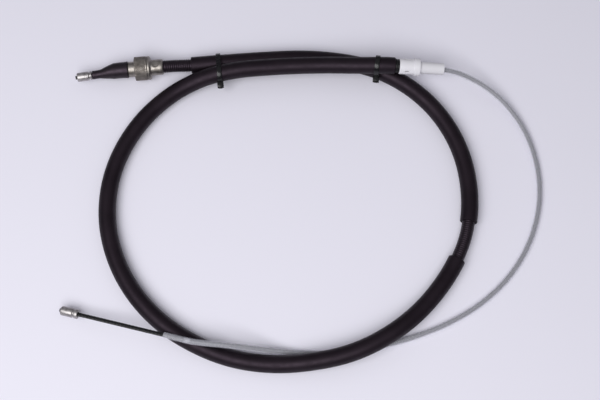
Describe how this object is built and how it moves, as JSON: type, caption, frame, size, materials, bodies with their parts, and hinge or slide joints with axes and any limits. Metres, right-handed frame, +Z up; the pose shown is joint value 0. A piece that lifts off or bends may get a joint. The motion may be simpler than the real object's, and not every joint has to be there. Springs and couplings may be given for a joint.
{
  "type": "parking brake cable",
  "caption": "Coiled car parking brake cable: ferrule with knurled collar and rubber boot, ribbed casing in black hoses, guide bush, clear guide tube, and wire rope with end nipples.",
  "frame": {"origin": "on the plane the coil lies on, under the middle of the coil's outline", "axes": "+Z up off the plane the coil lies on; +X along the coil's longest side, from the ferrule's end towards the guide bush; +Y away from the viewer of the picture, towards the tied side of the coil"},
  "size_m": [0.3604, 0.2538, 0.0304],
  "materials": {
    "boot_rubber": "soft black rubber with a dull sheen",
    "hose_black": "matte black extruded hose",
    "casing_black": "satin black, close ribs",
    "tie_black": "glossy black nylon",
    "plug_black": "satin black moulded plastic",
    "bush_white": "white moulded plastic with a soft shine",
    "tube_milky": "milky translucent tube",
    "liner_plastic": "plain pale liner, unseen",
    "ferrule_zinc": "zinc plated steel, diamond knurl on the collar",
    "nipple_zinc": "bright zinc casting",
    "armour_steel": "bare spring steel, unseen",
    "rope_dark": "dark coated wire rope, glossy strands"
  },
  "bodies": {
    "casing": {"dust_boot": "boot_rubber", "end_ferrule": "ferrule_zinc", "knurled_collar": "ferrule_zinc", "conduit_jacket": "casing_black", "conduit_armour": "armour_steel", "conduit_liner": "liner_plastic", "inner_wire": "rope_dark", "brake_side_hose": "hose_black", "lever_side_hose": "hose_black", "cable_tie_left": "tie_black", "cable_tie_right": "tie_black", "casing_end_plug": "plug_black", "white_guide_bush": "bush_white", "guide_tube": "tube_milky"},
    "brake_end": {"brake_end_nipple": "nipple_zinc", "brake_end_wire": "rope_dark"},
    "lever_end": {"lever_end_nipple": "nipple_zinc", "lever_end_wire": "rope_dark"}
  },
  "joints": [
    {"name": "lever_end_slide", "type": "slide", "parent": "casing", "child": "lever_end", "axis": [-0.9625, 0.2525, -0.0993], "range_m": [-0.004, 0.012]},
    {"name": "brake_end_slide", "type": "slide", "parent": "casing", "child": "brake_end", "axis": [-0.9857, -0.1685, 0], "range_m": [-0.012, 0.004], "deforming": ["dust_boot"]}
  ],
  "couplings": [
    {"joint": "brake_end_slide", "follows": "lever_end_slide", "ratio": -1}
  ]
}
